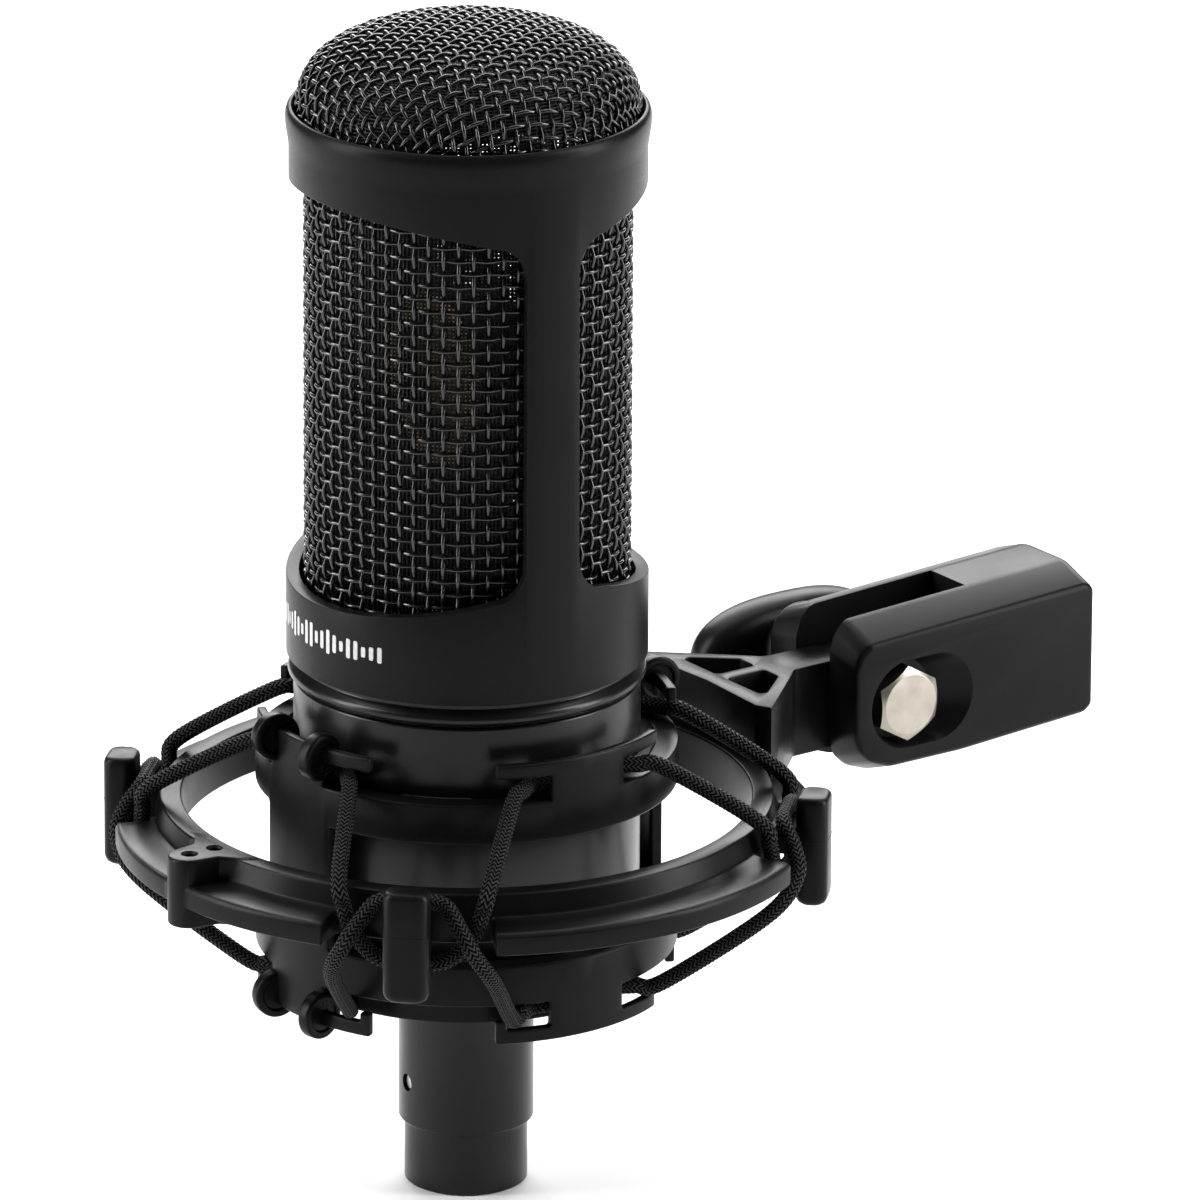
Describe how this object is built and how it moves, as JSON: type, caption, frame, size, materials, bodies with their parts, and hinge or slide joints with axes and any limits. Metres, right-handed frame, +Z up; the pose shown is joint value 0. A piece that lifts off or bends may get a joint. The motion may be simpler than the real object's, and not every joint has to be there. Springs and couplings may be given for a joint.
{
  "type": "condenser microphone",
  "caption": "Side-address condenser microphone with woven wire grille, held upright by braided elastic cords in a ring shock mount with a tilting stand clamp.",
  "frame": {"origin": "centre of the mouth of the threaded stand socket in the clamp", "axes": "+Y out of the stand socket, away from the microphone; +Z up along the microphone, grille on top; the microphone's front faces -Y (turned 7 degrees in its cradle, as in the picture); +X towards the hexagon head of the tilt bolt"},
  "size_m": [0.1012, 0.1569, 0.1738],
  "materials": {
    "satin_black_metal": "satin black powder coat on die-cast metal",
    "gloss_black_paint": "semi-gloss black paint on turned metal",
    "wire_mesh": "black-painted woven steel wire",
    "fine_screen": "fine black woven screen",
    "moulded_plastic": "black injection-moulded plastic, fine satin texture",
    "black_plastic": "black plastic",
    "rubber": "matt black rubber",
    "braided_cord": "black braided sleeve over an elastic core",
    "brass": "machined brass",
    "gold_film": "gold-sputtered polymer film",
    "nickel": "satin nickel plate",
    "steel": "zinc-plated steel",
    "zinc": "die-cast zinc or aluminium",
    "board_laminate": "green solder mask on glass laminate",
    "capacitor_yellow": "glossy film capacitor"
  },
  "bodies": {
    "clamp": {"stand_clamp": "moulded_plastic", "thread_insert": "brass", "pivot_bolt": "nickel"},
    "washer": {"knob_washer": "steel"},
    "knob": {"clamp_knob": "moulded_plastic", "knob_nut": "brass"},
    "ring": {"outer_ring": "moulded_plastic", "upper_cord": "braided_cord", "lower_cord": "braided_cord"},
    "cradle": {"cradle": "moulded_plastic", "upper_pad_1": "rubber", "upper_pad_2": "rubber", "upper_pad_3": "rubber", "upper_pad_4": "rubber", "lower_pad_1": "rubber", "lower_pad_2": "rubber", "lower_pad_3": "rubber", "lower_pad_4": "rubber"},
    "microphone": {"head_frame": "satin_black_metal", "dome_grille": "wire_mesh", "side_grille": "wire_mesh", "inner_screen": "fine_screen", "capsule_backplate": "brass", "capsule_housing": "black_plastic", "capsule_diaphragm": "gold_film", "capsule_clamp_ring": "brass", "capsule_saddle": "rubber", "capsule_post": "black_plastic", "head_base": "zinc", "body_shell": "gloss_black_paint", "trim_ring": "gloss_black_paint", "xlr_stem": "gloss_black_paint", "set_screw": "steel", "stem_nut": "steel", "xlr_insert": "black_plastic", "xlr_pin_1": "nickel", "xlr_pin_2": "nickel", "xlr_pin_3": "nickel", "chassis_rail_left": "zinc", "chassis_rail_right": "zinc", "circuit_board": "board_laminate", "output_transformer": "zinc", "coupling_capacitor": "capacitor_yellow", "converter_can": "zinc"}
  },
  "joints": [
    {"name": "tilt", "type": "hinge", "parent": "clamp", "child": "ring", "pos_m": [0, -0.0341, -0.0032], "axis": [1, 0, 0], "range_deg": [-90, 90]},
    {"name": "knob_travel", "type": "slide", "parent": "clamp", "child": "washer", "axis": [-1, 0, 0], "range_m": [0, 0.002]},
    {"name": "knob_turn", "type": "hinge", "parent": "washer", "child": "knob", "pos_m": [-0.018, -0.0341, -0.0032], "axis": [-1, 0, 0], "range_deg": [0, 720]},
    {"name": "suspension_bounce", "type": "slide", "parent": "ring", "child": "cradle", "axis": [0, 0, 1], "range_m": [-0.004, 0.004], "stiffness_N_per_m": 2000, "springref_m": 0.00183, "deforming": ["upper_cord", "lower_cord"]},
    {"name": "mic_slide", "type": "slide", "parent": "cradle", "child": "microphone", "axis": [0, 0, 1], "range_m": [0, 0.075]}
  ],
  "couplings": [
    {"joint": "knob_turn", "follows": "knob_travel", "rad_per_m": 6283.2}
  ]
}
